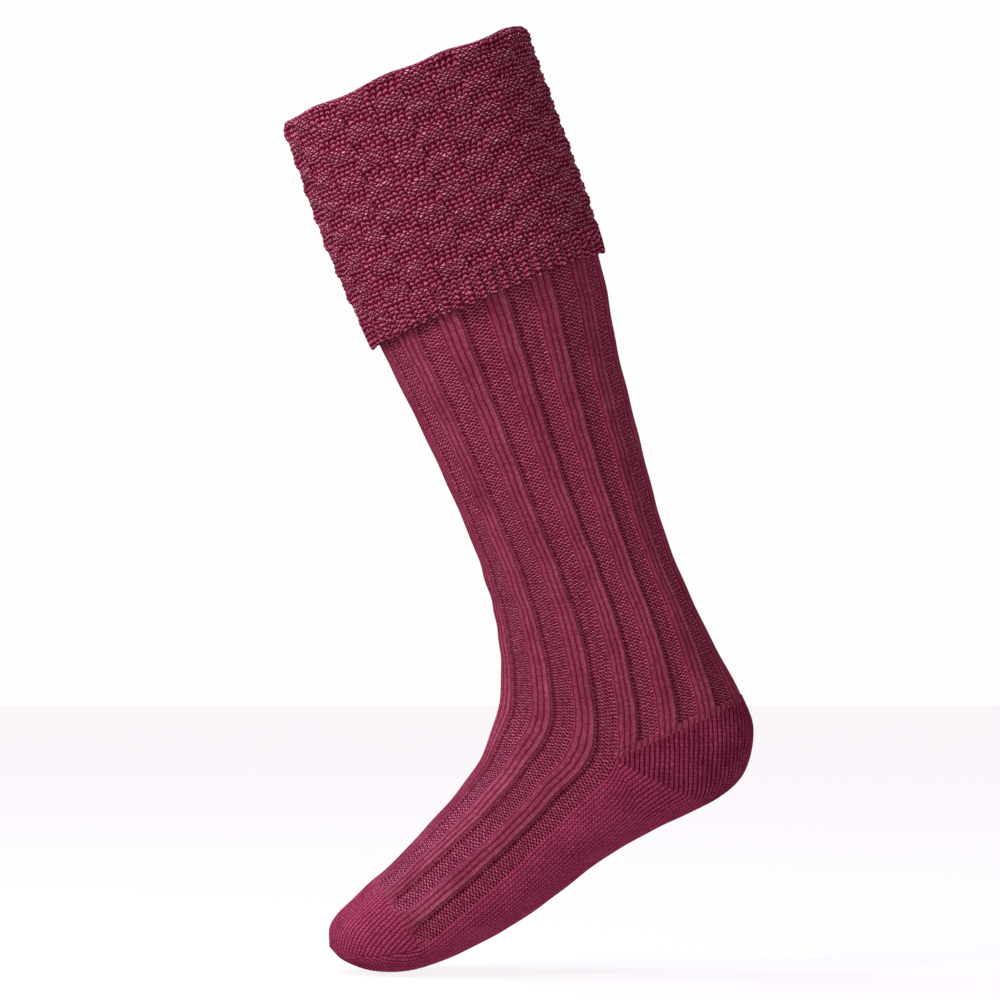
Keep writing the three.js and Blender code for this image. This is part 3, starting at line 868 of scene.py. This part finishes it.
# Deep, body and lit tone: the deep one is painted shade in the hollows, the lit one a painted
# highlight on the stitches' tops
PLAIN_YARN = ((0.055, 0.001, 0.008, 1), (0.34, 0.034, 0.095, 1), (0.55, 0.16, 0.25, 1))
plain_wool = wool_finish(
    "plain_wool", PLAIN_YARN, stitch_depth=0.0009, groove=1.0, rows=0.1, loops=0.8,
    plain_shade=0.75, uneven=0.35,
)
dress(heel, plain_wool, "plain_wool", "heel")


# Sole: plain knitting with fine wales that run along the foot, joined to the instep at its
# sides.
SOLE_PLAIN = 0.45  # how much its columns show against its rows, and how much painted shade darkens it
SOLE_BLEND = 25  # length over which the heel's look passes to the sole's
SOLE_COLUMNS = 240
half = HEEL_COLUMNS // 2
heel_girth = np.abs(girths[-1, half:] - 1)
across = np.linspace(-1, 1, SOLE_COLUMNS + 1)
at_heel = np.abs(across) * (1 - SIDE_SHARE)
wale = np.tile(np.interp(at_heel, heel_girth, wale[-1, half:]), (len(alongs), 1))
along = np.tile(alongs[:, None], (1, len(across)))
course = np.interp(at_heel, heel_girth, course[-1, half:]) - along / COURSE
plain = mix(UNDER_HEEL_PLAIN, SOLE_PLAIN, smooth_step(along, 0, SOLE_BLEND))
edge = np.zeros(wale.shape)
stitch = mix(purl_stitch(wale, course), plain_stitch(wale, course), plain)
offset = PLAIN_RELIEF * (stitch - PLAIN_LEVEL)
girths = np.tile(1 + across * (1 - SIDE_SHARE), (len(alongs), 1))
points = patch_grid(foot_chain, foot_station(alongs), girths, offset, -FOOT_WALL, LINING_COLUMNS)
sole = lined_panel("sole_panel", points, wale, course, plain, edge)
dress(sole, plain_wool, "plain_wool", "sole")


# Toe: a plain rounded cup. Its wales run in from the instep and the sole and end at a line
# of decreases along each side, which leads to the tip.
# How much the toe's columns show against its rows, and how much painted shade darkens it
TOE_PLAIN = 0.72
TOE_COLUMNS = 320
TOE_STEPS = 84
TOE_LINING_ROWS = 16
TIP = foot_chain["last"]

places = np.concatenate((
    np.linspace(TOE_START, TIP - 1, TOE_STEPS * 3 // 4, endpoint=False),
    np.linspace(TIP - 1, TIP, TOE_STEPS // 4 + 1),
))
made = sections(foot_chain, places)
girths = np.tile(np.linspace(-1, 1, TOE_COLUMNS + 1), (len(places), 1))
share = np.abs(girths)
front_girth = half_girth({**made, "back": made["front"]})[:, None]
back_girth = half_girth(made)[:, None]
from_top = share / SIDE_SHARE * front_girth
from_sole = (1 - share) / (1 - SIDE_SHARE) * back_girth
on_top = (share < SIDE_SHARE).astype(float)
run = np.concatenate(([0], np.cumsum(np.hypot(*np.diff(made["side"], axis=0).T))))
wale = mix(from_sole, from_top, on_top) / PLAIN_WALE
course = np.tile((run / COURSE)[:, None], (1, TOE_COLUMNS + 1))
plain = np.full(wale.shape, TOE_PLAIN)
edge = np.zeros(wale.shape)
stitch = mix(purl_stitch(wale, course), plain_stitch(wale, course), plain)
offset = PLAIN_RELIEF * (stitch - PLAIN_LEVEL)
offset[-1] = 0
outer = on_sock(made, girths, offset)
inner_places = np.linspace(TIP, TOE_START, TOE_LINING_ROWS)
inner_girths = np.tile(girths[0], (len(inner_places), 1))
inner = on_sock(
    sections(foot_chain, inner_places), inner_girths, np.full(inner_girths.shape, -FOOT_WALL)
)
inner[0] = inner[0].mean(axis=0)
outer[-1] = outer[-1].mean(axis=0)
forward = foot_point(gore, 1, 0) - gore
shift = FOOT_WALL * ((inner_places - TOE_START) / (TIP - TOE_START)) ** 2 * MM
inner[..., 0] -= forward[0] * shift[:, None]
inner[..., 2] -= forward[1] * shift[:, None]
inner_values = np.zeros(inner_girths.shape)
toe = knitted_panel(
    "toe_cup",
    closed_tube(outer, inner),
    closed_tube(wale, inner_values),
    closed_tube(course, inner_values),
    closed_tube(plain, inner_values),
    closed_tube(edge, inner_values),
)
dress(toe, plain_wool, "plain_wool", "toe")


# Floor and wall: a plain pale sheet that the toe just touches, wide enough for every view, and
# a glowing white wall far behind it. Both are only for the pictures.
FLOOR_SIZE = 14
FLOOR_GAP = 0.0005
WALL_SIZE = 9
WALL_BEHIND = 4.5
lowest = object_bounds()[0][2]
bpy.ops.mesh.primitive_plane_add(size=FLOOR_SIZE, location=(0, 0, lowest - FLOOR_GAP))
floor = bpy.context.object
floor.name = "floor"
floor_finish = Finish("pale_floor")
floor_shader = floor_finish.add("ShaderNodeBsdfPrincipled", {}, {
    "Base Color": (0.08, 0.065, 0.075, 1), "Roughness": 0.9, "Specular IOR Level": 0.0,
    "Emission Color": (1, 0.968, 1, 1), "Emission Strength": 0.885,
})
floor_finish.add("ShaderNodeOutputMaterial", {}, {"Surface": floor_shader})
floor.data.materials.append(floor_finish.material)

bpy.ops.mesh.primitive_plane_add(
    size=WALL_SIZE,
    location=(0, WALL_BEHIND, lowest + WALL_SIZE / 2),
    rotation=(math.pi / 2, 0, 0),
)
wall = bpy.context.object
wall.name = "wall"
wall_finish = Finish("white_wall")
wall_glow = wall_finish.add("ShaderNodeEmission", {}, {
    "Color": (0.99, 0.985, 0.99, 1), "Strength": 1.0,
})
wall_finish.add("ShaderNodeOutputMaterial", {}, {"Surface": wall_glow})
wall.data.materials.append(wall_finish.material)


# Light: a bright white room with three soft lamps: the key to the upper left, on the toe's
# side, a weak one in front, and a cool one above that lights the tops of the toe and cuff.
def soft_lamp(name, location, target, size, power, colour=(1, 1, 1)):
    lamp_data = bpy.data.lights.new(name, "AREA")
    lamp_data.shape = "DISK"
    lamp_data.size = size
    lamp_data.energy = power
    lamp_data.color = colour
    lamp = bpy.data.objects.new(name, lamp_data)
    bpy.context.scene.collection.objects.link(lamp)
    lamp.location = location
    aim = Vector(target) - Vector(location)
    lamp.rotation_euler = aim.to_track_quat("-Z", "Y").to_euler()


ROOM_LIGHT = 0.5
middle = (CAMERA_X, 0, -0.25)
soft_lamp("key", (-1.6, -1.15, 0.95), middle, size=0.7, power=66)
soft_lamp("fill", (0.9, -2.5, 0.1), middle, size=1.8, power=20)
soft_lamp("top", (-0.8, 0.3, 1.5), middle, size=0.8, power=64, colour=(0.55, 0.92, 1))

world = bpy.data.worlds.new("white_room")
bpy.context.scene.world = world
world.use_nodes = True
world.node_tree.nodes["Background"].inputs["Color"].default_value = (1, 1, 1, 1)
world.node_tree.nodes["Background"].inputs["Strength"].default_value = ROOM_LIGHT
bpy.context.scene.view_settings.view_transform = "Standard"
